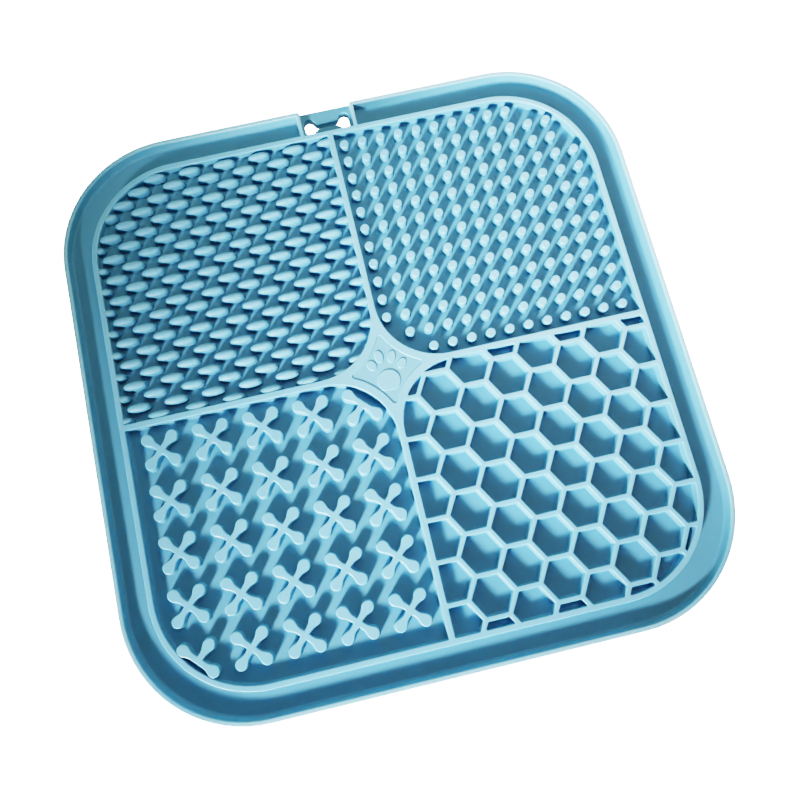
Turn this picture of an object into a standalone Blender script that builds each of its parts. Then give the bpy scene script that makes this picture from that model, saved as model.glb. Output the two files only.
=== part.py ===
"""A square silicone lick mat for pets, moulded in one piece.

The frame is +Z up, with the origin under the middle of the mat and +Y towards the side
that holds the hanging strip. The base is a flat plate. On it stand an outer rim, a spill
gutter, an inner wall and two dividers that cross at a star-shaped plateau. Each of the
four trays has its own texture: elliptical columns, round pegs, crosses or honeycomb.
All raised parts end at one height.
"""

import math

import bmesh
import bpy

MM = 0.001

# Plan of the mat, from the outside in. A "half" is half of a square's side.
SIDE_HALF = 100 * MM
SIDE_CORNER = 40.6 * MM
RIM_WALL = 1.4 * MM
INNER_HALF = 89.5 * MM
INNER_CORNER = 32.2 * MM
INNER_WALL = 1.8 * MM
DIVIDER_WIDTH = 2.0 * MM
RIM_STEPS = 9
CORNER_STEPS = 6

# Heights above the surface that the mat lies on.
TOP_Z = 5.5 * MM
FLOOR_Z = 2.2 * MM
STRIP_Z = 3.2 * MM

# The star-shaped plateau: four arcs that run out into the dividers.
STAR_REACH = 22.1 * MM
STAR_STEPS = 5
PANEL_MARGIN = 2.7 * MM
PANEL_TIP_HALF = 0.6 * MM
PANEL_DEPTH = 0.4 * MM

# The raised paw print in the panel: centre, half sizes and turn of each pad.
PAW_PADS = [
    # x, y, half width, half height, turn in degrees
    (-4.7, 2.2, 1.5, 1.9, 28.0),
    (-1.7, 4.7, 1.4, 2.2, 8.0),
    (2.4, 3.9, 1.4, 2.1, -18.0),
    (5.3, 0.9, 1.4, 1.9, -40.0),
    (-0.2, -3.9, 3.9, 3.7, 0.0),
]
PAW_SIDES = 10

# Round pegs in a square grid.
PEG_PITCH = 6.62 * MM
PEG_FIRST = (4.13 * MM, 4.57 * MM)
PEG_COUNT = 13
PEG_RADIUS = 1.65 * MM
PEG_SIDES = 6
PEG_CLEAR = 0.4 * MM

# Elliptical columns in staggered rows.
OVAL_PITCH_X = 12.57 * MM
OVAL_PITCH_Y = 7.68 * MM
OVAL_FIRST = (1.49 * MM, 2.09 * MM)
OVAL_HALF = (4.0 * MM, 1.45 * MM)
OVAL_SIDES = 6
OVAL_LEAST_INSIDE = 1.2 * MM
OVAL_ROWS = 13
OVAL_COLUMNS = 9

# Crosses with bulbous arms in a square grid.
CROSS_PITCH = 16.86 * MM
CROSS_FIRST = (10.59 * MM, 9.79 * MM)
CROSS_COUNT = 5
CROSS_NECK = 1.45 * MM
CROSS_BULB_AT = 5.4 * MM
CROSS_BULB_HALF = 1.9 * MM
CROSS_TIP_AT = 7.6 * MM
CROSS_TIP_HALF = 1.15 * MM

# Honeycomb of hexagons with two flat sides along X.
CELL_SIDE = 7.79 * MM
CELL_WALL = 1.5 * MM
CELL_FIRST = (15.66 * MM, 11.23 * MM)
CELL_COLUMNS = 8
CELL_ROWS = 8
CELL_LEAST_INSIDE = 1.2 * MM

# The hanging strip between its two ribs, and the bone-shaped hole along the inner wall.
# A ledge on the wall and the strip leave the hole's narrow neck between them.
STRIP_HALF = 10.45 * MM
RIB_WIDTH = 1.4 * MM
HOLE_NECK_Y = (93.3 * MM, 95.0 * MM)
HOLE_LOBE_X = 6.4 * MM
HOLE_LOBE_Y = (92.7 * MM, 96.1 * MM)
HOLE_LOBE_RADIUS = 2.2 * MM
HOLE_LOBE_STEPS = 6
LEDGE_CHAMFER = 0.8 * MM

# Room left between two touching pieces, and how far a cutter runs past what it cuts.
GAP = 0.3 * MM
PAST = 2.0 * MM
FLAT = math.radians(0.5)

SILICONE_BLUE = (0.33, 0.66, 0.78, 1.0)


def clear_scene():
    for thing in list(bpy.data.objects):
        bpy.data.objects.remove(thing)


def make_collection(name):
    group = bpy.data.collections.new(name)
    bpy.context.scene.collection.children.link(group)
    return group


def make_silicone(name):
    material = bpy.data.materials.new(name)
    material.use_nodes = True
    shader = material.node_tree.nodes["Principled BSDF"]
    shader.inputs["Base Color"].default_value = SILICONE_BLUE
    shader.inputs["Roughness"].default_value = 0.5
    shader.inputs["Metallic"].default_value = 0.0
    return material


def arc(centre, radius, start, end, steps):
    """Points along an arc, both ends included, with angles in degrees."""
    points = []
    for step in range(steps + 1):
        angle = math.radians(start + (end - start) * step / steps)
        x = centre[0] + radius * math.cos(angle)
        y = centre[1] + radius * math.sin(angle)
        points.append((x, y))
    return points


def rounded_square(half, corner, steps):
    """A square outline with round corners, anticlockwise."""
    middle = half - corner
    points = []
    for quarter, (x, y) in enumerate([(1, 1), (-1, 1), (-1, -1), (1, -1)]):
        start = 90 * quarter
        centre = (x * middle, y * middle)
        points += arc(centre, corner, start, start + 90, steps)
    return points


def rectangle(low_x, low_y, high_x, high_y):
    return [(low_x, low_y), (high_x, low_y), (high_x, high_y), (low_x, high_y)]


def ellipse(centre, half, sides, turn=0.0):
    """A polygon of the same area as the ellipse, turned about its centre by degrees."""
    step = 2 * math.pi / sides
    scale = math.sqrt(step / math.sin(step))
    cos, sin = math.cos(math.radians(turn)), math.sin(math.radians(turn))
    points = []
    for side in range(sides):
        x = scale * half[0] * math.cos(step * side)
        y = scale * half[1] * math.sin(step * side)
        points.append((centre[0] + x * cos - y * sin, centre[1] + x * sin + y * cos))
    return points


def mirrored(points, sign_x, sign_y):
    return [(sign_x * x, sign_y * y) for x, y in points]


def prism(name, outlines, low_z, high_z, group):
    """A mesh object that fills the outlines from one height to another."""
    curve = bpy.data.curves.new(name, "CURVE")
    curve.dimensions = "2D"
    curve.fill_mode = "BOTH"
    curve.extrude = (high_z - low_z) / 2
    for outline in outlines:
        spline = curve.splines.new("POLY")
        spline.points.add(len(outline) - 1)
        for point, (x, y) in zip(spline.points, outline):
            point.co = (x, y, 0, 1)
        spline.use_cyclic_u = True
    drawn = bpy.data.objects.new(name, curve)
    drawn.location.z = (low_z + high_z) / 2
    group.objects.link(drawn)
    bpy.context.view_layer.update()
    graph = bpy.context.evaluated_depsgraph_get()
    mesh = bpy.data.meshes.new_from_object(drawn.evaluated_get(graph))
    mesh.transform(drawn.matrix_world)
    bpy.data.objects.remove(drawn)
    shell = bmesh.new()
    shell.from_mesh(mesh)
    bmesh.ops.remove_doubles(shell, verts=shell.verts, dist=0.001 * MM)
    bmesh.ops.dissolve_limit(shell, angle_limit=FLAT, verts=shell.verts, edges=shell.edges)
    bmesh.ops.recalc_face_normals(shell, faces=shell.faces)
    shell.to_mesh(mesh)
    shell.free()
    made = bpy.data.objects.new(name, mesh)
    group.objects.link(made)
    return made


def as_cutter(thing):
    thing.hide_render = True
    thing.display_type = "WIRE"
    return thing


def combine(thing, operation, other):
    """Adds a Boolean of the other object, which becomes a hidden helper."""
    as_cutter(other)
    modifier = thing.modifiers.new(operation.title(), "BOOLEAN")
    modifier.operation = operation
    modifier.solver = "EXACT"
    modifier.object = other
    return thing


def cut_away(thing, group):
    """Subtracts every object of a collection in one Boolean, so that no cut crosses another."""
    for cutter in group.objects:
        as_cutter(cutter)
    modifier = thing.modifiers.new("Cuts", "BOOLEAN")
    modifier.operation = "DIFFERENCE"
    modifier.solver = "EXACT"
    modifier.operand_type = "COLLECTION"
    modifier.collection = group
    return thing


def cut_heights():
    """A tray or the gutter is cut from the floor up past the top."""
    return FLOOR_Z, TOP_Z + PAST


def tray_outline(sign_x, sign_y):
    """The inside of one tray, between the inner wall, the dividers and the star."""
    inside = INNER_HALF - INNER_WALL / 2
    edge = DIVIDER_WIDTH / 2
    corner = INNER_CORNER + (inside - INNER_HALF)
    middle = inside - corner
    points = [(inside, edge)]
    points += arc((middle, middle), corner, 0, 90, CORNER_STEPS)
    points.append((edge, inside))
    points += arc((STAR_REACH, STAR_REACH), STAR_REACH - edge, 180, 270, STAR_STEPS)
    return mirrored(points, sign_x, sign_y)


def depth_inside(x, y):
    """How far a point lies inside its tray, negative outside."""
    x, y = abs(x), abs(y)
    inside = INNER_HALF - INNER_WALL / 2
    edge = DIVIDER_WIDTH / 2
    corner = INNER_CORNER + (inside - INNER_HALF)
    middle = inside - corner
    room = min(inside - x, inside - y, x - edge, y - edge)
    if x > middle and y > middle:
        room = min(room, corner - math.hypot(x - middle, y - middle))
    if x < STAR_REACH and y < STAR_REACH:
        from_arc = STAR_REACH - edge - math.hypot(STAR_REACH - x, STAR_REACH - y)
        room = min(room, from_arc)
    return room


def peg_outlines():
    outlines = []
    for row in range(PEG_COUNT):
        for column in range(PEG_COUNT):
            centre = (PEG_FIRST[0] + PEG_PITCH * column, PEG_FIRST[1] + PEG_PITCH * row)
            if depth_inside(*centre) > PEG_RADIUS + PEG_CLEAR:
                outlines.append(ellipse(centre, (PEG_RADIUS, PEG_RADIUS), PEG_SIDES))
    return outlines


def oval_centres():
    """Both sets of rows: the second is shifted by half a pitch each way."""
    for shift in (0.0, 0.5):
        for row in range(OVAL_ROWS):
            for column in range(OVAL_COLUMNS):
                x = OVAL_FIRST[0] + OVAL_PITCH_X * (column + shift)
                y = OVAL_FIRST[1] + OVAL_PITCH_Y * (row + shift)
                yield -x, y


def oval_outlines():
    """The columns that show in their tray, whole or cut off by a wall."""
    outlines = []
    for x, y in oval_centres():
        tips = [x - OVAL_HALF[0], x, x + OVAL_HALF[0]]
        if max(depth_inside(tip, y) for tip in tips if tip < 0) > OVAL_LEAST_INSIDE:
            outlines.append(ellipse((x, y), OVAL_HALF, OVAL_SIDES))
    return outlines


def cross_outline(centre, missing):
    """A cross with arms at 45 degrees. A missing arm is left out."""
    points = []
    for arm in range(4):
        along = math.radians(45 + 90 * arm)
        side_angle = along + math.pi / 2
        if arm != missing:
            for reach, half in [
                (CROSS_BULB_AT, -CROSS_BULB_HALF),
                (CROSS_TIP_AT, -CROSS_TIP_HALF),
                (CROSS_TIP_AT, CROSS_TIP_HALF),
                (CROSS_BULB_AT, CROSS_BULB_HALF),
            ]:
                x = reach * math.cos(along) + half * math.cos(side_angle)
                y = reach * math.sin(along) + half * math.sin(side_angle)
                points.append((centre[0] + x, centre[1] + y))
        notch = along + math.pi / 4
        x = CROSS_NECK * math.cos(notch)
        y = CROSS_NECK * math.sin(notch)
        points.append((centre[0] + x, centre[1] + y))
    return points


def cross_outlines():
    """The outer corner's cross and the star's cross each lack the arm that would hit."""
    last = CROSS_COUNT - 1
    outlines = []
    for row in range(CROSS_COUNT):
        for column in range(CROSS_COUNT):
            x = -(CROSS_FIRST[0] + CROSS_PITCH * column)
            y = -(CROSS_FIRST[1] + CROSS_PITCH * row)
            missing = None
            if row == 0 and column == 0:
                missing = 0
            if row == last and column == last:
                missing = 2
            outlines.append(cross_outline((x, y), missing))
    return outlines


def cell_outlines():
    """Hexagonal cells, each smaller than its place in the grid by half a wall all round."""
    inner = CELL_SIDE - CELL_WALL / math.sqrt(3)
    pitch_y = math.sqrt(3) * CELL_SIDE
    outlines = []
    for column in range(-1, CELL_COLUMNS - 1):
        for row in range(-1, CELL_ROWS - 1):
            x = CELL_FIRST[0] + 1.5 * CELL_SIDE * column
            y = -(CELL_FIRST[1] + pitch_y * (row + 0.5 * (column % 2)))
            rim = arc((x, y), inner, 0, 300, 5)
            if max(depth_inside(*p) for p in rim if p[0] > 0 and p[1] < 0) > CELL_LEAST_INSIDE:
                outlines.append(rim)
    return outlines


def texture_tray(name, sign_x, sign_y, operation, outlines, spaces, helpers):
    """The space of one tray: its outline less the columns, or only the cells in it."""
    low, high = cut_heights()
    tray = prism(name, [tray_outline(sign_x, sign_y)], low, high, spaces)
    texture = prism(name + "_texture", outlines, low - PAST, high + PAST, helpers)
    return combine(tray, operation, texture)


def gutter_space(group):
    """The ring between the rim and the inner wall, less the place of the hanging strip."""
    low, high = cut_heights()
    outside = SIDE_HALF - RIM_WALL
    inside = INNER_HALF + INNER_WALL / 2
    rings = [
        rounded_square(outside, SIDE_CORNER - RIM_WALL, RIM_STEPS),
        rounded_square(inside, INNER_CORNER + (inside - INNER_HALF), CORNER_STEPS),
    ]
    return prism("gutter_space", rings, low, high, group)


def ledge_outline():
    """The low ledge on the inner wall between the two ends of the hanging hole."""
    foot_y = INNER_HALF
    wide = HOLE_LOBE_X - HOLE_LOBE_RADIUS
    narrow = wide - LEDGE_CHAMFER
    high_y = HOLE_NECK_Y[0]
    side_y = high_y - LEDGE_CHAMFER
    right = [(wide, foot_y), (wide, side_y), (narrow, high_y)]
    return right + mirrored(right, -1, 1)[::-1]


def strip_space(group, helpers):
    """The notch that the hanging strip sits in, through the whole height, less the ledge."""
    half = STRIP_HALF + GAP
    inside = INNER_HALF + INNER_WALL / 2
    notch = rectangle(-half, inside, half, SIDE_HALF + PAST)
    space = prism("strip_space", [notch], -PAST, TOP_Z + 2 * PAST, group)
    ledge = prism("ledge", [ledge_outline()], -2 * PAST, STRIP_Z, helpers)
    return combine(space, "DIFFERENCE", ledge)


def star_panel(margin):
    """A diamond with hollow sides and blunt points, inside the star."""
    centre = STAR_REACH
    radius = STAR_REACH - DIVIDER_WIDTH / 2 + margin
    turn = math.degrees(math.acos((centre - PANEL_TIP_HALF) / radius))
    start = 270 - turn
    end = 180 + turn
    points = []
    for sign_x, sign_y, order in [(1, 1, 1), (-1, 1, -1), (-1, -1, 1), (1, -1, -1)]:
        side = arc((centre, centre), radius, start, end, STAR_STEPS)
        side = mirrored(side, sign_x, sign_y)
        points += side if order > 0 else side[::-1]
    return points


def panel_space(spaces, helpers):
    """The shallow sunk panel, with the paw print left standing in it."""
    panel = [star_panel(PANEL_MARGIN)]
    low = TOP_Z - PANEL_DEPTH
    space = prism("panel_space", panel, low, TOP_Z + PAST, spaces)
    pads = []
    for x, y, half_x, half_y, turn in PAW_PADS:
        half = (half_x * MM, half_y * MM)
        pads.append(ellipse((x * MM, y * MM), half, PAW_SIDES, turn))
    paw = prism("paw_print", pads, low - PAST, TOP_Z + 2 * PAST, helpers)
    return combine(space, "DIFFERENCE", paw)


def build_mat(parts, spaces, helpers):
    outline = rounded_square(SIDE_HALF, SIDE_CORNER, RIM_STEPS)
    mat = prism("mat", [outline], 0, TOP_Z, parts)
    gutter_space(spaces)
    strip_space(spaces, helpers)
    trays = [
        ("oval_tray", -1, 1, "DIFFERENCE", oval_outlines()),
        ("peg_tray", 1, 1, "DIFFERENCE", peg_outlines()),
        ("cross_tray", -1, -1, "DIFFERENCE", cross_outlines()),
        ("honeycomb_tray", 1, -1, "INTERSECT", cell_outlines()),
    ]
    for name, sign_x, sign_y, operation, outlines in trays:
        texture_tray(name, sign_x, sign_y, operation, outlines, spaces, helpers)
    panel_space(spaces, helpers)
    cut_away(mat, spaces)
    tidy = mat.modifiers.new("Flat faces", "DECIMATE")
    tidy.decimate_type = "DISSOLVE"
    tidy.angle_limit = FLAT
    mat.data.materials.append(make_silicone("mat_silicone"))
    return mat


def lobe_outline(x):
    """One end of the hanging hole, long along Y with two round ends."""
    low_y, high_y = HOLE_LOBE_Y
    far = arc((x, high_y), HOLE_LOBE_RADIUS, 0, 180, HOLE_LOBE_STEPS)
    return far + arc((x, low_y), HOLE_LOBE_RADIUS, 180, 360, HOLE_LOBE_STEPS)


def build_hang_strip(parts, cutters):
    low_y = INNER_HALF + INNER_WALL / 2 + GAP
    block = rectangle(-STRIP_HALF, low_y, STRIP_HALF, SIDE_HALF)
    strip = prism("hang_strip", [block], 0, TOP_Z, parts)
    between = STRIP_HALF - RIB_WIDTH
    channel = rectangle(-between, low_y - PAST, between, SIDE_HALF + PAST)
    combine(strip, "DIFFERENCE", prism("strip_channel", [channel], STRIP_Z, TOP_Z + PAST, cutters))
    neck = rectangle(-HOLE_LOBE_X, low_y - PAST, HOLE_LOBE_X, HOLE_NECK_Y[1])
    combine(strip, "DIFFERENCE", prism("hole_neck", [neck], -PAST, TOP_Z, cutters))
    lobes = [lobe_outline(-HOLE_LOBE_X), lobe_outline(HOLE_LOBE_X)]
    combine(strip, "DIFFERENCE", prism("hole_lobes", lobes, -PAST, TOP_Z, cutters))
    strip.data.materials.append(make_silicone("strip_silicone"))
    return strip


def main():
    clear_scene()
    parts = make_collection("lick_mat")
    spaces = make_collection("spaces_in_mat")
    helpers = make_collection("cutters")
    build_mat(parts, spaces, helpers)
    build_hang_strip(parts, helpers)


main()
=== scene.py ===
"""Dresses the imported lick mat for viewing: one soft silicone moulding with rounded lips.

The whole mat is rebuilt as one fine moulding that stands for both CAD nodes, with the
round pegs, oval columns and crosses of three trays set on its floor. Sizes are in
millimetres in the CAD's own frame: Z is up, the hanging strip is on the +Y side. The
places of lamps and camera are in metres.
"""

import math

import bmesh
import bpy
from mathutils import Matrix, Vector


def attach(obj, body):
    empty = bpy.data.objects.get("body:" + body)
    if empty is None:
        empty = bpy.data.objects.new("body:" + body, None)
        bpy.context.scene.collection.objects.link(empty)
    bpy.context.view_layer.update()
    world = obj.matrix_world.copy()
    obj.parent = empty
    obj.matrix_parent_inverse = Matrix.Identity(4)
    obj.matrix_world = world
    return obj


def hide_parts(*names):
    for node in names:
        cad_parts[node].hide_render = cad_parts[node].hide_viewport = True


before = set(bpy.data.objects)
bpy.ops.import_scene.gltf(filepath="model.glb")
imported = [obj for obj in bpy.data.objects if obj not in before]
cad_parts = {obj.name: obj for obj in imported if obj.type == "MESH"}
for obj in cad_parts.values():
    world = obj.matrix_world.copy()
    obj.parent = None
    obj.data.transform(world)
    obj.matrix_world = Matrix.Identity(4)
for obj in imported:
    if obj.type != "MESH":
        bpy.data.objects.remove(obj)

MM = 0.001
BODY = "root"

# Plan of the moulding.
SIDE_HALF = 100.0
SIDE_CORNER = 40.6
RIM_WALL = 1.4
INNER_HALF = 89.5
INNER_CORNER = 32.2
INNER_WALL = 1.8
DIVIDER_WIDTH = 2.0
WALL_OUT = INNER_HALF + INNER_WALL / 2
WALL_IN = INNER_HALF - INNER_WALL / 2
CORNER_STEPS = 18

# Heights.
TOP_Z = 5.5
FLOOR_Z = 2.2
STRIP_Z = 3.2

# Soft edges. The rim's outside is (inset, height) pairs from the table up to its lip. The
# others are (lip radius, lean of the side, fillet at the foot).
LIP_STEPS = 3
RIM_LIP = 0.32
RIM_FOOT = [(0.45, 0.0), (0.13, 0.13), (0.0, 0.45)]
GUTTER_EDGE = (0.24, 0.12, 0.5)
GUTTER_RIM_EDGE = (0.24, 0.4, 0.9)
TRAY_EDGE = (0.25, 0.12, 0.45)
CELL_EDGE = (0.24, 0.12, 0.4)
PANEL_EDGE = (0.1, 0.02, 0.1)
TRAY_CORNER = 0.6
CELL_CORNER = 0.45

# The star-shaped plateau and its sunk panel.
STAR_REACH = 22.1
STAR_STEPS = 14
PANEL_MARGIN = 2.7
PANEL_TIP_HALF = 0.6
PANEL_TIP_ROUND = 1.3
PANEL_DEPTH = 0.28

# The paw print in the panel. A toe is its centre, half width, half length and turn in
# degrees. The heel is a circle with a dip below and a swell on each side of the dip.
TOES = [
    (-4.7, 2.2, 1.5, 1.9, 28),
    (-1.7, 4.7, 1.4, 2.2, 8),
    (2.4, 3.9, 1.4, 2.1, -18),
    (5.3, 0.9, 1.4, 1.9, -40),
]
TOE_SIDES = 24
HEEL_CENTRE = (-0.2, -3.9)
HEEL_RADIUS = 3.85
HEEL_FLATNESS = 0.96
HEEL_SIDES = 36
HEEL_DIP_AT = 268
HEEL_DIP = 0.14
HEEL_SWELL_AWAY = 42
HEEL_SWELL = 0.05
HEEL_SPREAD = 20
PAD_STEPS = [(-0.12, 0.0), (-0.03, 0.08), (0.0, 0.17), (0.05, 0.25), (0.16, 0.28)]

# Grids of the four textures.
PEG_PITCH = 6.62
PEG_FIRST = (4.13, 4.57)
PEG_COUNT = 13
PEG_RADIUS = 1.65
PEG_CLEAR = 0.4
OVAL_PITCH = (12.57, 7.68)
OVAL_FIRST = (1.49, 2.09)
OVAL_HALF = (4.0, 1.45)
OVAL_ROWS = 13
OVAL_COLUMNS = 9
CROSS_PITCH = 16.86
CROSS_FIRST = (10.59, 9.79)
CROSS_COUNT = 5
CELL_SIDE = 7.79
CELL_WALL = 1.5
CELL_FIRST = (15.66, 11.23)
CELL_COLUMNS = 8
CELL_ROWS = 8
CELL_LEAST_AREA = 1.5

# The columns. A step is (inset, height over the floor), or (scale, height) for the oval.
# An arm's half is (distance from the middle, half width).
PEG_SIDES = 14
PEG_STEPS = [(-0.3, -0.3), (-0.28, 0.02), (-0.02, 0.4), (0.05, 2.9), (0.11, 3.14), (0.3, 3.28)]
OVAL_SIDES = 14
OVAL_POWER = 0.88
OVAL_STEPS = [(1.04, -0.3), (1.0, 1.8), (0.95, 2.35), (0.83, 2.78), (0.62, 3.08), (0.2, 3.29)]
OVAL_LEAST_INSIDE = 0.4
OVAL_SPREAD = 0.45
CROSS_STEPS = [
    (-0.3, -0.3),
    (-0.28, 0.02),
    (-0.05, 0.3),
    (0.02, 2.95),
    (0.12, 3.2),
    (0.32, 3.28),
]
HALF_ARM = [
    (2.1, 0.98),
    (3.2, 1.1),
    (4.2, 1.5),
    (5.0, 1.88),
    (5.8, 1.98),
    (6.6, 1.82),
    (7.25, 1.35),
    (7.68, 0.65),
]
ARM_TIP = 7.8
ARM_NOTCH = 1.5
ARM_STUB = 0.95

# How much the columns of a tray differ in width, and the seed of it.
PEG_VARIATION = (0.012, 3)
OVAL_VARIATION = (0.010, 5)
CROSS_VARIATION = (0.006, 7)
SHORT_CROSS_VARIATION = (0.0, 7)

# The hanging strip, its ribs and the bone-shaped hole.
STRIP_HALF = 10.45
RIB_WIDTH = 1.4
RIB_CORNER = 1.2
HOLE_NECK_Y = (93.3, 95.0)
HOLE_LOBE_X = 6.36
HOLE_LOBE_Y = (93.2, 95.8)
HOLE_LOBE_RADIUS = 1.85
CHANNEL_LIP = 0.35

# Colours of the silicone, and the heights over which it turns to its top's colour and polish. The
# top colour is paler, a painted sheen for the light that the tops catch. The rim's top is paler
# still, a painted highlight, from the first to the second distance along X or Y.
BODY_COLOURS = [(0.104, 0.340, 0.530, 1), (0.116, 0.364, 0.556, 1)]
SHEEN_PAINTED_TOP_COLOUR = (0.236, 0.565, 0.820, 1)
RIM_HIGHLIGHT_PAINTED_COLOUR = (0.360, 0.690, 0.880, 1)
SHEEN_PAINTED_HEIGHTS = (4.6, 5.48)
POLISH_HEIGHTS = (4.7, 5.45)
POLISH_ROUGHNESS = (0.70, 0.32)
RIM_HIGHLIGHT_PAINTED_SPAN = (91.5, 98.5)

# The lamps and the surround.
KEY_PLACE = (-0.504, -0.621, 0.3270)
KEY_AIM = (0.136, 0.114, 0.0)
KEY_RADIUS = 0.058
KEY_CONE = 20.4
KEY_POWER = 152.0
WINDOW_POWER = 10.0
WINDOW_SIZE = 0.6
WINDOW_COLOUR = (0.70, 0.93, 1.0)
WINDOW_AIM = (0.060, 0.020, 0.0)
WINDOW_ELEVATION = 63
FILL_POWER = 0.095
FILL_SIZE = 0.08
FILL_PLACE = (0.010, 0.125, 0.19)
FILL_AIM = (0.005, 0.085, 0.0)
SURROUND_COLOUR = (0.92, 1.0, 0.84)
SURROUND_LOW_TO_HIGH = (0.9, 0.09)
SURROUND_FRONT_TO_BACK = (0.45, 1.35)
TABLE_GLOW = 14.0

# The camera.
CAMERA_PLACE = (-0.01765, -0.05765, 0.24390)
CAMERA_TILT = 11.735
CAMERA_TURN = -13.048
CAMERA_LENS = 33.12
CAMERA_SENSOR = 36.0
CAMERA_SHIFT = 0.0319


# ---------------------------------------------------------------- outlines in the plan


def arc(centre, radius, start, end, steps):
    """Points along an arc, both ends included, with angles in degrees."""
    points = []
    for step in range(steps + 1):
        angle = math.radians(start + (end - start) * step / steps)
        points.append((centre[0] + radius * math.cos(angle), centre[1] + radius * math.sin(angle)))
    return points


def circle(centre, radius, sides):
    """Points once round a circle, anticlockwise."""
    return arc(centre, radius, 0, 360 - 360 / sides, sides - 1)


def rounded_square(half, corner, steps=CORNER_STEPS):
    """A square outline with round corners, anticlockwise."""
    middle = half - corner
    points = []
    for quarter, (x, y) in enumerate([(1, 1), (-1, 1), (-1, -1), (1, -1)]):
        points += arc((x * middle, y * middle), corner, 90 * quarter, 90 * quarter + 90, steps)
    return points


def anticlockwise(points):
    area = 0.0
    for (ax, ay), (bx, by) in zip(points, points[1:] + points[:1]):
        area += ax * by - bx * ay
    return points if area > 0 else points[::-1]


def area_and_length(points):
    area = length = 0.0
    for (ax, ay), (bx, by) in zip(points, points[1:] + points[:1]):
        area += (ax * by - bx * ay) / 2
        length += math.hypot(bx - ax, by - ay)
    return abs(area), length


def offset(points, distances):
    """Moves each side of an anticlockwise outline inwards by its own distance."""
    count = len(points)
    sides = []
    for i in range(count):
        (ax, ay), (bx, by) = points[i], points[(i + 1) % count]
        length = math.hypot(bx - ax, by - ay)
        sides.append(((ay - by) / length, (bx - ax) / length))
    moved = []
    for i in range(count):
        (nx, ny), (mx, my) = sides[i - 1], sides[i]
        d, e = distances[i - 1], distances[i]
        x, y = points[i]
        cross = nx * my - ny * mx
        if abs(cross) < 0.02:
            sum_x, sum_y = nx + mx, ny + my
            length = math.hypot(sum_x, sum_y)
            mean = (d + e) / 2
            moved.append((x + mean * sum_x / length, y + mean * sum_y / length))
        else:
            moved.append((x + (d * my - e * ny) / cross, y + (e * nx - d * mx) / cross))
    return moved


def inset(points, distance):
    return offset(points, [distance] * len(points))


def rounded(points, radius, steps=3, least_turn=20):
    """The outline with each sharp corner rounded off."""
    count = len(points)
    result = []
    for i in range(count):
        (ax, ay), (bx, by), (cx, cy) = points[i - 1], points[i], points[(i + 1) % count]
        before = math.hypot(bx - ax, by - ay)
        after = math.hypot(cx - bx, cy - by)
        turn = math.atan2(
            (bx - ax) * (cy - by) - (by - ay) * (cx - bx),
            (bx - ax) * (cx - bx) + (by - ay) * (cy - by),
        )
        if abs(turn) < math.radians(least_turn):
            result.append((bx, by))
            continue
        back = min(radius * math.tan(abs(turn) / 2), 0.4 * before, 0.4 * after)
        for step in range(steps + 1):
            t = step / steps
            u = (1 - t) ** 2 * back / before
            v = t**2 * back / after
            x = bx + u * (ax - bx) + v * (cx - bx)
            y = by + u * (ay - by) + v * (cy - by)
            result.append((x, y))
    return result


def clipped(points, border):
    """The part of a convex outline that lies inside a convex anticlockwise border."""
    for (ax, ay), (bx, by) in zip(border, border[1:] + border[:1]):
        kept = []
        for i, (px, py) in enumerate(points):
            qx, qy = points[i - 1]
            here = (bx - ax) * (py - ay) - (by - ay) * (px - ax)
            last = (bx - ax) * (qy - ay) - (by - ay) * (qx - ax)
            if here * last < 0:
                t = last / (last - here)
                kept.append((qx + t * (px - qx), qy + t * (py - qy)))
            if here >= 0:
                kept.append((px, py))
        points = kept
        if len(points) < 3:
            return []
    cleaned = []
    for i, (px, py) in enumerate(points):
        qx, qy = points[i - 1]
        if math.hypot(px - qx, py - qy) > 0.02:
            cleaned.append((px, py))
    return cleaned if len(cleaned) >= 3 else []


def tray_outline(sign_x, sign_y, spread=0.0):
    """The inside of one tray, convex, between the inner wall, the dividers and the star."""
    inside = WALL_IN + spread
    edge = DIVIDER_WIDTH / 2 - spread
    corner = INNER_CORNER + (inside - INNER_HALF)
    middle = inside - corner
    points = [(inside, edge)]
    points += arc((middle, middle), corner, 0, 90, CORNER_STEPS)
    points.append((edge, inside))
    points += arc((STAR_REACH, STAR_REACH), STAR_REACH - edge, 180, 270, STAR_STEPS)
    return anticlockwise([(sign_x * x, sign_y * y) for x, y in points])


def depth_inside(x, y):
    """How far a point lies inside its tray, negative outside."""
    x, y = abs(x), abs(y)
    edge = DIVIDER_WIDTH / 2
    corner = INNER_CORNER + (WALL_IN - INNER_HALF)
    middle = WALL_IN - corner
    room = min(WALL_IN - x, WALL_IN - y, x - edge, y - edge)
    if x > middle and y > middle:
        room = min(room, corner - math.hypot(x - middle, y - middle))
    if x < STAR_REACH and y < STAR_REACH:
        room = min(room, STAR_REACH - edge - math.hypot(STAR_REACH - x, STAR_REACH - y))
    return room


def gutter_outline():
    """The gutter from one rib of the hanging strip round to the other, and which sides are rim."""
    rim_half = SIDE_HALF - RIM_WALL
    rim_corner = SIDE_CORNER - RIM_WALL
    wall_corner = INNER_CORNER + (WALL_OUT - INNER_HALF)
    outer = [(-STRIP_HALF, rim_half)]
    for x, y, start in [(-1, 1, 90), (-1, -1, 180), (1, -1, 270), (1, 1, 0)]:
        middle = rim_half - rim_corner
        outer += arc((x * middle, y * middle), rim_corner, start, start + 90, CORNER_STEPS)
    outer.append((STRIP_HALF, rim_half))
    inner = [(STRIP_HALF, WALL_OUT)]
    for x, y, start in [(1, 1, 90), (1, -1, 0), (-1, -1, -90), (-1, 1, 180)]:
        middle = WALL_OUT - wall_corner
        inner += arc((x * middle, y * middle), wall_corner, start, start - 90, CORNER_STEPS)
    inner.append((-STRIP_HALF, WALL_OUT))
    rim_sides = [True] * (len(outer) - 1) + [False] * (len(inner) + 1)
    return outer + inner, rim_sides


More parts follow.
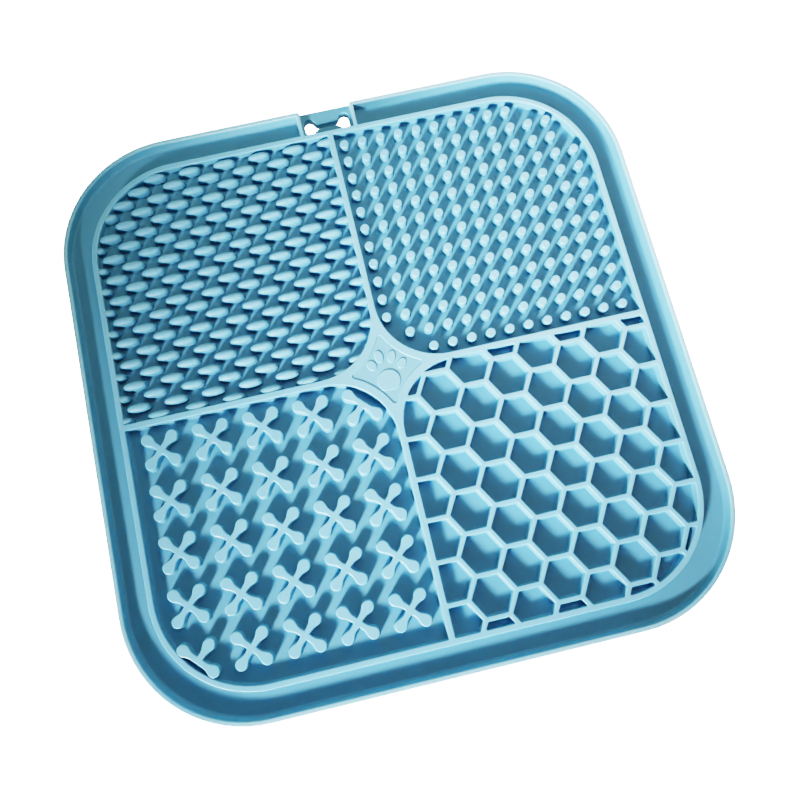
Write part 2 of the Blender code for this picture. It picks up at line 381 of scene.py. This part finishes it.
def star_panel():
    """A diamond with hollow sides and round points, inside the star."""
    centre = STAR_REACH
    radius = STAR_REACH - DIVIDER_WIDTH / 2 + PANEL_MARGIN
    turn = math.degrees(math.acos((centre - PANEL_TIP_HALF) / radius))
    points = []
    for sign_x, sign_y, order in [(1, 1, 1), (-1, 1, -1), (-1, -1, 1), (1, -1, -1)]:
        side = arc((centre, centre), radius, 270 - turn, 180 + turn, STAR_STEPS)
        side = [(sign_x * x, sign_y * y) for x, y in side]
        points += side[::order]
    return rounded(anticlockwise(points), PANEL_TIP_ROUND, 4, 30)


def paw_pads():
    """Outlines of a plain paw print: four toes and a heel pad with a small dip below."""
    pads = []
    for x, y, half_x, half_y, turn in TOES:
        cos, sin = math.cos(math.radians(turn)), math.sin(math.radians(turn))
        toe = []
        for u, v in circle((0, 0), 1, TOE_SIDES):
            along_x = x + u * half_x * cos - v * half_y * sin
            along_y = y + u * half_x * sin + v * half_y * cos
            toe.append((along_x, along_y))
        pads.append(toe)
    heel = []
    for step in range(HEEL_SIDES):
        angle = 360 // HEEL_SIDES * step
        away = abs(angle - HEEL_DIP_AT)
        dip = HEEL_DIP * math.exp(-((away / HEEL_SPREAD) ** 2))
        swell = HEEL_SWELL * math.exp(-(((away - HEEL_SWELL_AWAY) / HEEL_SPREAD) ** 2))
        reach = HEEL_RADIUS * (1 + swell - dip)
        x = HEEL_CENTRE[0] + reach * math.cos(math.radians(angle))
        y = HEEL_CENTRE[1] + HEEL_FLATNESS * reach * math.sin(math.radians(angle))
        heel.append((x, y))
    pads.append(heel)
    return pads


def cell_outlines():
    """Honeycomb cells, each clipped to its tray."""
    reach = CELL_SIDE - CELL_WALL / math.sqrt(3)
    pitch_y = math.sqrt(3) * CELL_SIDE
    border = tray_outline(1, -1)
    cells = []
    for column in range(-1, CELL_COLUMNS - 1):
        for row in range(-1, CELL_ROWS - 1):
            x = CELL_FIRST[0] + 1.5 * CELL_SIDE * column
            y = -(CELL_FIRST[1] + pitch_y * (row + 0.5 * (column % 2)))
            cell = clipped(circle((x, y), reach, 6), border)
            if cell and area_and_length(cell)[0] > CELL_LEAST_AREA:
                cells.append(cell)
    return cells


def cross_outline(missing=None):
    """A cross with bulbous arms at 45 degrees. A missing arm is left out."""
    points = []
    for arm in range(4):
        along = math.radians(45 + 90 * arm)
        cos, sin = math.cos(along), math.sin(along)
        if arm != missing:
            sides = [(r, -w) for r, w in HALF_ARM] + [(ARM_TIP, 0.0)] + HALF_ARM[::-1]
            points += [(r * cos - w * sin, r * sin + w * cos) for r, w in sides]
        else:
            points.append((ARM_STUB * cos, ARM_STUB * sin))
        notch = along + math.pi / 4
        points.append((ARM_NOTCH * math.cos(notch), ARM_NOTCH * math.sin(notch)))
    return anticlockwise(points)


def hole_outline():
    """The bone-shaped hanging hole: two long round ends and a narrow neck."""
    low_y, high_y = HOLE_LOBE_Y
    near, far = HOLE_NECK_Y
    right = [(3.1, near), (3.9, near - 0.3), (4.4, near - 0.9)]
    right += arc((HOLE_LOBE_X, low_y), HOLE_LOBE_RADIUS, 200, 360, 10)
    right += arc((HOLE_LOBE_X, high_y), HOLE_LOBE_RADIUS, 0, 160, 10)
    right += [(3.9, far + 0.3), (3.1, far)]
    return right + [(-x, y) for x, y in right[::-1]]


# ---------------------------------------------------------------- lofts and flat fills


def loft(mesh, rings):
    """Smooth bands between rings of (x, y, z) in millimetres. Returns the rings' vertices."""
    made = [[mesh.verts.new((x * MM, y * MM, z * MM)) for x, y, z in ring] for ring in rings]
    for low, high in zip(made, made[1:]):
        for i in range(len(low)):
            j = (i + 1) % len(low)
            mesh.faces.new((low[i], low[j], high[j], high[i])).smooth = True
    return made


def flat_fill(mesh, loops):
    """Fills the flat region between loops of vertices with flat-shaded faces."""
    edges = []
    for loop in loops:
        for i, vertex in enumerate(loop):
            ends = (vertex, loop[i - 1])
            edges.append(mesh.edges.get(ends) or mesh.edges.new(ends))
    filled = bmesh.ops.triangle_fill(mesh, use_beauty=True, edges=edges)
    for face in filled["geom"]:
        if isinstance(face, bmesh.types.BMFace):
            face.smooth = False


def at_height(points, z):
    return [(x, y, z) for x, y in points]


def lip(radius):
    """(distance, drop) pairs of a rounded edge, from the flat top to the upright side."""
    pairs = []
    for step in range(LIP_STEPS + 1):
        angle = math.pi / 2 * step / LIP_STEPS
        pairs.append((-radius * (1 - math.sin(angle)), radius * (1 - math.cos(angle))))
    return pairs


def hollow(mesh, outline, top_z, floor_z, edge, rim_sides=None, rim_edge=None):
    """Lofts a hollow from its lip at the top to its floor. Returns (lip loop, floor loop).

    An edge is (lip radius, lean, fillet). Sides marked in rim_sides take rim_edge. In a
    narrow hollow the lean and fillet of the other sides are less.
    """
    area, length = area_and_length(outline)
    room = min(1.0, 2 * area / length / 2.2)
    radius, lean, fillet = edge
    marks = rim_sides or [False] * len(outline)
    kinds = [(radius, lean * room, fillet * room), rim_edge or edge]
    rings = []
    for step in range(LIP_STEPS + 1):
        pairs = [lip(kind[0])[step] for kind in kinds]
        distances = [pairs[mark][0] for mark in marks]
        rings.append(at_height(offset(outline, distances), top_z - pairs[0][1]))
    fillet_height = min(kinds[1 if rim_edge else 0][2], 0.45 * (top_z - floor_z))
    for part, rise in [(0.0, 1.0), (0.18, 0.32), (1.0, 0.0)]:
        distances = [kinds[mark][1] + kinds[mark][2] * part for mark in marks]
        rings.append(at_height(offset(outline, distances), floor_z + fillet_height * rise))
    made = loft(mesh, rings)
    return made[0], made[-1]


def as_object(name, mesh):
    """Closes a bmesh into a new object with its faces outwards."""
    bmesh.ops.recalc_face_normals(mesh, faces=mesh.faces)
    data = bpy.data.meshes.new(name)
    mesh.to_mesh(data)
    mesh.free()
    made = bpy.data.objects.new(name, data)
    bpy.context.scene.collection.objects.link(made)
    return made


def combine(target, operation, other):
    """Applies a Boolean with another object for good, and removes that object."""
    modifier = target.modifiers.new(operation.title(), "BOOLEAN")
    modifier.operation = operation
    modifier.solver = "EXACT"
    modifier.object = other
    settle(target)
    bpy.data.objects.remove(other)


def settle(thing):
    """Turns an object's live modifiers into its plain mesh."""
    bpy.context.view_layer.update()
    graph = bpy.context.evaluated_depsgraph_get()
    mesh = bpy.data.meshes.new_from_object(thing.evaluated_get(graph))
    thing.modifiers.clear()
    thing.data = mesh


# ---------------------------------------------------------------- the moulding


def build_moulding():
    """The base plate with its rim, gutter, walls, star, honeycomb and sunk panel."""
    mesh = bmesh.new()
    outside = rounded_square(SIDE_HALF, SIDE_CORNER)
    profile = RIM_FOOT + [(0.0, TOP_Z - RIM_LIP)]
    for distance, drop in lip(RIM_LIP)[::-1][1:]:
        profile.append((-distance, TOP_Z - drop))
    outer = loft(mesh, [at_height(inset(outside, d), z) for d, z in profile])
    flat_fill(mesh, [outer[0]])
    tops = [outer[-1]]
    gutter, rim_sides = gutter_outline()
    top, floor = hollow(mesh, gutter, TOP_Z, FLOOR_Z, GUTTER_EDGE, rim_sides, GUTTER_RIM_EDGE)
    tops.append(top)
    flat_fill(mesh, [floor])
    for sign_x, sign_y in [(-1, 1), (1, 1), (-1, -1)]:
        outline = rounded(tray_outline(sign_x, sign_y), TRAY_CORNER, 3, 40)
        top, floor = hollow(mesh, outline, TOP_Z, FLOOR_Z, TRAY_EDGE)
        tops.append(top)
        flat_fill(mesh, [floor])
    for cell in cell_outlines():
        outline = rounded(cell, CELL_CORNER, 2)
        top, floor = hollow(mesh, outline, TOP_Z, FLOOR_Z, CELL_EDGE)
        tops.append(top)
        flat_fill(mesh, [floor])
    panel_z = TOP_Z - PANEL_DEPTH
    top, floor = hollow(mesh, star_panel(), TOP_Z, panel_z, PANEL_EDGE)
    tops.append(top)
    pad_feet = []
    for pad in paw_pads():
        rings = loft(mesh, [at_height(inset(pad, d), panel_z + z) for d, z in PAD_STEPS])
        pad_feet.append(rings[0])
        flat_fill(mesh, [rings[-1]])
    flat_fill(mesh, [floor] + pad_feet)
    flat_fill(mesh, tops)
    moulding = as_object("mat_moulding", mesh)
    combine(moulding, "DIFFERENCE", channel_cutter())
    combine(moulding, "DIFFERENCE", hole_cutter())
    return moulding


def channel_cutter():
    """The space over the hanging strip, between its two ribs and out through the rim."""
    half = STRIP_HALF - RIB_WIDTH
    right = [(half, WALL_OUT), (half, SIDE_HALF - RIB_CORNER)]
    right += arc((half + RIB_CORNER, SIDE_HALF - RIB_CORNER), RIB_CORNER, 180, 90, 6)[1:]
    right.append((half + RIB_CORNER, SIDE_HALF + 2))
    outline = right + [(-x, y) for x, y in right[::-1]]
    mesh = bmesh.new()
    steps = [(0.45, STRIP_Z), (0.15, STRIP_Z + 0.12), (0.0, STRIP_Z + 0.4)]
    for distance, drop in lip(CHANNEL_LIP)[::-1]:
        steps.append((distance, TOP_Z - drop))
    steps.append((-CHANNEL_LIP, TOP_Z + 1))
    rings = loft(mesh, [at_height(inset(outline, d), z) for d, z in steps])
    flat_fill(mesh, [rings[0]])
    flat_fill(mesh, [rings[-1]])
    return as_object("strip_channel", mesh)


def hole_cutter():
    """The hanging hole through the strip, a little wider at its two edges."""
    mesh = bmesh.new()
    outline = anticlockwise(hole_outline())
    steps = [(-0.2, -1.0), (-0.2, 0.0), (-0.05, 0.06), (0.0, 0.2), (0.0, STRIP_Z - 0.25)]
    steps += [(-0.07, STRIP_Z - 0.06), (-0.25, STRIP_Z), (-0.25, STRIP_Z + 0.1)]
    rings = loft(mesh, [at_height(inset(outline, d), z) for d, z in steps])
    flat_fill(mesh, [rings[0]])
    flat_fill(mesh, [rings[-1]])
    return as_object("hanging_hole", mesh)


# ---------------------------------------------------------------- columns on the tray floors


def column(name, outline, steps, scaled=False):
    """One closed column around the origin. Steps are (inset or scale, height over the floor)."""
    mesh = bmesh.new()
    rings = []
    for amount, z in steps:
        ring = [(x * amount, y * amount) for x, y in outline] if scaled else inset(outline, amount)
        rings.append(at_height(ring, z))
    made = loft(mesh, rings)
    mesh.faces.new(made[0])
    mesh.faces.new(made[-1]).smooth = scaled
    return as_object(name, mesh)


def peg():
    return column("peg_column", circle((0, 0), PEG_RADIUS, PEG_SIDES), PEG_STEPS)


def oval():
    """A domed column, a little fuller than an ellipse because its power is under 1."""
    outline = []
    for x, y in circle((0, 0), 1, OVAL_SIDES):
        along_x = OVAL_HALF[0] * math.copysign(abs(x) ** OVAL_POWER, x)
        along_y = OVAL_HALF[1] * math.copysign(abs(y) ** OVAL_POWER, y)
        outline.append((along_x, along_y))
    return column("oval_column", outline, OVAL_STEPS, True)


def cross(name, missing=None):
    return column(name, cross_outline(missing), CROSS_STEPS)


def peg_places():
    """(x, y, turn) of each peg that fits whole in its tray."""
    places = []
    for row in range(PEG_COUNT):
        for column_number in range(PEG_COUNT):
            x = PEG_FIRST[0] + PEG_PITCH * column_number
            y = PEG_FIRST[1] + PEG_PITCH * row
            if depth_inside(x, y) > PEG_RADIUS + PEG_CLEAR:
                places.append((x, y, 0.0))
    return places


def oval_places():
    """(x, y, turn) of each oval that shows in its tray, in two grids half a pitch apart."""
    places = []
    for shift in (0.0, 0.5):
        for row in range(OVAL_ROWS):
            for column_number in range(OVAL_COLUMNS):
                x = -(OVAL_FIRST[0] + OVAL_PITCH[0] * (column_number + shift))
                y = OVAL_FIRST[1] + OVAL_PITCH[1] * (row + shift)
                tips = [x - OVAL_HALF[0], x, x + OVAL_HALF[0]]
                if max(depth_inside(tip, y) for tip in tips if tip < 0) > OVAL_LEAST_INSIDE:
                    places.append((x, y, 0.0))
    return places


def cross_places():
    """(x, y, turn) of the whole crosses and of the two that lack an arm."""
    whole, three_armed = [], []
    last = CROSS_COUNT - 1
    for row in range(CROSS_COUNT):
        for column_number in range(CROSS_COUNT):
            x = -(CROSS_FIRST[0] + CROSS_PITCH * column_number)
            y = -(CROSS_FIRST[1] + CROSS_PITCH * row)
            if row == column_number == 0:
                three_armed.append((x, y, 0.0))
            elif row == column_number == last:
                three_armed.append((x, y, math.pi))
            else:
                whole.append((x, y, 0.0))
    return whole, three_armed


def worked_out(tree, operation, *values):
    """The result of a Math node. Each value is a number or a socket."""
    node = tree.nodes.new("ShaderNodeMath")
    node.operation = operation
    for given, value in zip(node.inputs, values):
        if isinstance(value, float):
            given.default_value = value
        else:
            tree.links.new(value, given)
    return node.outputs[0]


def remapped(tree, value, before, after=(0.0, 1.0)):
    """A Map Range node that takes one pair of limits to another, fed by the value."""
    node = tree.nodes.new("ShaderNodeMapRange")
    limits = zip(("From Min", "From Max", "To Min", "To Max"), (*before, *after))
    for name, limit in limits:
        node.inputs[name].default_value = limit
    tree.links.new(value, node.inputs["Value"])
    return node


def repeat_tree():
    """Sets a column on every point of a mesh, turned by the point's own turn."""
    tree = bpy.data.node_groups.new("Columns on places", "GeometryNodeTree")
    face = tree.interface
    face.new_socket("Places", in_out="INPUT", socket_type="NodeSocketGeometry")
    face.new_socket("Column", in_out="INPUT", socket_type="NodeSocketObject")
    face.new_socket("Floor height", in_out="INPUT", socket_type="NodeSocketFloat")
    face.new_socket("Size variation", in_out="INPUT", socket_type="NodeSocketFloat")
    face.new_socket("Seed", in_out="INPUT", socket_type="NodeSocketInt")
    face.new_socket("Silicone", in_out="INPUT", socket_type="NodeSocketMaterial")
    face.new_socket("Columns", in_out="OUTPUT", socket_type="NodeSocketGeometry")
    nodes, links = tree.nodes, tree.links
    given = nodes.new("NodeGroupInput")
    lift = nodes.new("ShaderNodeCombineXYZ")
    links.new(given.outputs["Floor height"], lift.inputs["Z"])
    raised = nodes.new("GeometryNodeSetPosition")
    links.new(given.outputs["Places"], raised.inputs["Geometry"])
    links.new(lift.outputs[0], raised.inputs["Offset"])
    source = nodes.new("GeometryNodeObjectInfo")
    links.new(given.outputs["Column"], source.inputs["Object"])
    turn = nodes.new("GeometryNodeInputNamedAttribute")
    turn.data_type = "FLOAT"
    turn.inputs["Name"].default_value = "turn"
    upright = nodes.new("ShaderNodeCombineXYZ")
    links.new(turn.outputs["Attribute"], upright.inputs["Z"])
    least = worked_out(tree, "SUBTRACT", 1.0, given.outputs["Size variation"])
    most = worked_out(tree, "ADD", 1.0, given.outputs["Size variation"])
    size = nodes.new("FunctionNodeRandomValue")
    size.data_type = "FLOAT"
    links.new(least, size.inputs[2])
    links.new(most, size.inputs[3])
    links.new(given.outputs["Seed"], size.inputs["Seed"])
    wide = nodes.new("ShaderNodeCombineXYZ")
    wide.inputs["Z"].default_value = 1.0
    links.new(size.outputs[1], wide.inputs["X"])
    links.new(size.outputs[1], wide.inputs["Y"])
    placed = nodes.new("GeometryNodeInstanceOnPoints")
    links.new(raised.outputs["Geometry"], placed.inputs["Points"])
    links.new(source.outputs["Geometry"], placed.inputs["Instance"])
    links.new(upright.outputs[0], placed.inputs["Rotation"])
    links.new(wide.outputs[0], placed.inputs["Scale"])
    real = nodes.new("GeometryNodeRealizeInstances")
    links.new(placed.outputs["Instances"], real.inputs["Geometry"])
    coloured = nodes.new("GeometryNodeSetMaterial")
    links.new(real.outputs["Geometry"], coloured.inputs["Geometry"])
    links.new(given.outputs["Silicone"], coloured.inputs["Material"])
    result = nodes.new("NodeGroupOutput")
    links.new(coloured.outputs["Geometry"], result.inputs["Columns"])
    return tree


def repeated(name, tree, source, places, silicone, width_variation):
    """A plain mesh object of the source column on every place."""
    variation, seed = width_variation
    data = bpy.data.meshes.new(name)
    data.from_pydata([(x * MM, y * MM, 0) for x, y, _ in places], [], [])
    turns = data.attributes.new("turn", "FLOAT", "POINT")
    for item, place in zip(turns.data, places):
        item.value = place[2]
    made = bpy.data.objects.new(name, data)
    bpy.context.scene.collection.objects.link(made)
    modifier = made.modifiers.new("Columns", "NODES")
    modifier.node_group = tree
    values = {
        "Column": source,
        "Floor height": FLOOR_Z * MM,
        "Size variation": variation,
        "Seed": seed,
        "Silicone": silicone,
    }
    for item in tree.interface.items_tree:
        if item.in_out == "INPUT" and item.name in values:
            modifier[item.identifier] = values[item.name]
    settle(made)
    bpy.data.objects.remove(source)
    return made


def joined(first, second):
    """Adds the second object's mesh to the first."""
    mesh = bmesh.new()
    mesh.from_mesh(first.data)
    mesh.from_mesh(second.data)
    mesh.to_mesh(first.data)
    mesh.free()
    bpy.data.objects.remove(second)
    return first


def keep_inside_tray(thing, sign_x, sign_y, spread):
    """Cuts off what reaches through the walls of a tray."""
    mesh = bmesh.new()
    border = tray_outline(sign_x, sign_y, spread)
    rings = loft(mesh, [at_height(border, 1.0), at_height(border, TOP_Z + 2)])
    flat_fill(mesh, [rings[0]])
    flat_fill(mesh, [rings[-1]])
    combine(thing, "INTERSECT", as_object("tray_block", mesh))


# ---------------------------------------------------------------- silicone


def in_metres(pair):
    return [MM * value for value in pair]


def mixed(tree, factor, first, second):
    """The result of a colour mix. Each colour is a socket or four numbers."""
    node = tree.nodes.new("ShaderNodeMix")
    node.data_type = "RGBA"
    tree.links.new(factor, node.inputs["Factor"])
    for name, colour in (("A", first), ("B", second)):
        if isinstance(colour, tuple):
            node.inputs[name].default_value = colour
        else:
            tree.links.new(colour, node.inputs[name])
    return node.outputs["Result"]


def make_silicone():
    """Translucent blue silicone with a fine grain, dull low down and smoother on top.

    Its tops are paler, a painted sheen, and the rim's top paler still, a painted highlight.
    """
    material = bpy.data.materials.new("blue_silicone")
    material.use_nodes = True
    tree = material.node_tree
    nodes, links = tree.nodes, tree.links
    shader = nodes["Principled BSDF"]
    place = nodes.new("ShaderNodeTexCoord")
    split = nodes.new("ShaderNodeSeparateXYZ")
    links.new(place.outputs["Object"], split.inputs[0])

    cloud = nodes.new("ShaderNodeTexNoise")
    cloud.inputs["Scale"].default_value = 38.0
    cloud.inputs["Detail"].default_value = 3.0
    links.new(place.outputs["Object"], cloud.inputs["Vector"])
    body = mixed(tree, cloud.outputs["Fac"], *BODY_COLOURS)

    # Painted highlight: the top colour turns paler still towards the rim, along X or Y.
    far_x = worked_out(tree, "ABSOLUTE", split.outputs["X"])
    far_y = worked_out(tree, "ABSOLUTE", split.outputs["Y"])
    outside = remapped(tree, worked_out(tree, "MAXIMUM", far_x, far_y), in_metres(RIM_HIGHLIGHT_PAINTED_SPAN))
    top = mixed(tree, outside.outputs["Result"], SHEEN_PAINTED_TOP_COLOUR, RIM_HIGHLIGHT_PAINTED_COLOUR)
    # Painted sheen: the silicone turns to the paler top colour with height.
    height = remapped(tree, split.outputs["Z"], in_metres(SHEEN_PAINTED_HEIGHTS))
    links.new(mixed(tree, height.outputs["Result"], body, top), shader.inputs["Base Color"])

    grain = nodes.new("ShaderNodeTexNoise")
    grain.inputs["Scale"].default_value = 2600.0
    grain.inputs["Detail"].default_value = 2.0
    links.new(place.outputs["Object"], grain.inputs["Vector"])
    bump = nodes.new("ShaderNodeBump")
    bump.inputs["Strength"].default_value = 0.25
    bump.inputs["Distance"].default_value = 0.05 * MM
    links.new(grain.outputs["Fac"], bump.inputs["Height"])
    links.new(bump.outputs["Normal"], shader.inputs["Normal"])

    polish = remapped(tree, split.outputs["Z"], in_metres(POLISH_HEIGHTS), POLISH_ROUGHNESS)
    links.new(polish.outputs["Result"], shader.inputs["Roughness"])
    shader.inputs["IOR"].default_value = 1.42
    shader.inputs["Subsurface Weight"].default_value = 0.5
    shader.inputs["Subsurface Radius"].default_value = (0.4, 0.8, 1.0)
    shader.inputs["Subsurface Scale"].default_value = 1.2 * MM
    shader.inputs["Specular IOR Level"].default_value = 0.75
    return material


def build_pieces():
    """The moulding and the columns of three trays, all on the mat's one body."""
    silicone = make_silicone()
    moulding = build_moulding()
    moulding.data.materials.clear()
    moulding.data.materials.append(silicone)
    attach(moulding, BODY)
    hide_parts("mat", "hang_strip")

    tree = repeat_tree()
    pegs = repeated("round_pegs", tree, peg(), peg_places(), silicone, PEG_VARIATION)
    ovals = repeated("oval_columns", tree, oval(), oval_places(), silicone, OVAL_VARIATION)
    keep_inside_tray(ovals, -1, 1, OVAL_SPREAD)
    whole, three_armed = cross_places()
    column_whole, column_short = cross("cross_column"), cross("short_cross", 0)
    crosses = repeated("cross_columns", tree, column_whole, whole, silicone, CROSS_VARIATION)
    short = repeated(
        "short_crosses", tree, column_short, three_armed, silicone, SHORT_CROSS_VARIATION
    )
    crosses = joined(crosses, short)
    for thing in (pegs, ovals, crosses):
        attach(thing, BODY)


# ---------------------------------------------------------------- stage, light, camera


def make_stage():
    """A plain white table, bright enough to show no shadow, that lends the mat no light."""
    bpy.ops.mesh.primitive_plane_add(size=6, location=(0, 0, 0))
    table = bpy.context.object
    table.name = "table"
    material = bpy.data.materials.new("white_table")
    material.use_nodes = True
    shader = material.node_tree.nodes["Principled BSDF"]
    shader.inputs["Base Color"].default_value = (0.9, 0.9, 0.9, 1)
    shader.inputs["Roughness"].default_value = 0.8
    shader.inputs["Emission Color"].default_value = (1, 1, 1, 1)
    shader.inputs["Emission Strength"].default_value = TABLE_GLOW
    table.visible_diffuse = False
    table.visible_glossy = False
    table.data.materials.append(material)


def make_light():
    """A low lamp from the front left, a window from the back right that lends only sheen, a
    small fill at the back, and a dim surround."""
    key = bpy.data.lights.new("low_key", "SPOT")
    key.energy = KEY_POWER
    key.shadow_soft_size = KEY_RADIUS
    key.spot_size = math.radians(KEY_CONE)
    key.spot_blend = 1.0
    place_lamp(key, Vector(KEY_PLACE), Vector(KEY_AIM))

    window = bpy.data.lights.new("window", "AREA")
    window.shape = "DISK"
    window.size = WINDOW_SIZE
    window.energy = WINDOW_POWER
    window.color = WINDOW_COLOUR
    high = math.radians(WINDOW_ELEVATION)
    aim = Vector(WINDOW_AIM)
    way_up = Vector((math.cos(high) * 0.707, math.cos(high) * 0.707, math.sin(high)))
    sheen = place_lamp(window, aim + way_up, aim)
    sheen.visible_diffuse = False

    fill = bpy.data.lights.new("back_fill", "AREA")
    fill.shape = "DISK"
    fill.size = FILL_SIZE
    fill.energy = FILL_POWER
    fill.color = SURROUND_COLOUR
    soft = place_lamp(fill, Vector(FILL_PLACE), Vector(FILL_AIM))
    soft.visible_glossy = False
    soft.visible_camera = False
    make_surround()


def make_surround():
    """A world that is brighter near the horizon than overhead, and at the back than in front."""
    world = bpy.data.worlds.new("soft_surround")
    world.use_nodes = True
    tree = world.node_tree
    background = tree.nodes["Background"]
    background.inputs["Color"].default_value = (*SURROUND_COLOUR, 1)
    way = tree.nodes.new("ShaderNodeTexCoord")
    split = tree.nodes.new("ShaderNodeSeparateXYZ")
    tree.links.new(way.outputs["Generated"], split.inputs[0])
    low = remapped(tree, split.outputs["Z"], (0.0, 0.75), SURROUND_LOW_TO_HIGH)
    low.interpolation_type = "SMOOTHERSTEP"
    back = remapped(tree, split.outputs["Y"], (-1.0, 1.0), SURROUND_FRONT_TO_BACK)
    glow = worked_out(tree, "MULTIPLY", low.outputs["Result"], back.outputs["Result"])
    tree.links.new(glow, background.inputs["Strength"])
    bpy.context.scene.world = world
    bpy.context.scene.view_settings.view_transform = "Filmic"
    bpy.context.scene.view_settings.look = "High Contrast"


def place_lamp(data, place, aim):
    """Adds a lamp at one point that looks at another."""
    lamp = bpy.data.objects.new(data.name, data)
    lamp.location = place
    lamp.rotation_euler = (place - aim).to_track_quat("Z", "Y").to_euler()
    bpy.context.scene.collection.objects.link(lamp)
    return lamp


def make_camera():
    data = bpy.data.cameras.new("view")
    data.sensor_width = CAMERA_SENSOR
    data.lens = CAMERA_LENS
    data.shift_x = CAMERA_SHIFT
    data.clip_start = 0.01
    camera = bpy.data.objects.new("view", data)
    camera.location = CAMERA_PLACE
    camera.rotation_euler = (math.radians(CAMERA_TILT), 0.0, math.radians(CAMERA_TURN))
    bpy.context.scene.collection.objects.link(camera)
    bpy.context.scene.camera = camera


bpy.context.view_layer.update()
build_pieces()
make_stage()
make_light()
make_camera()
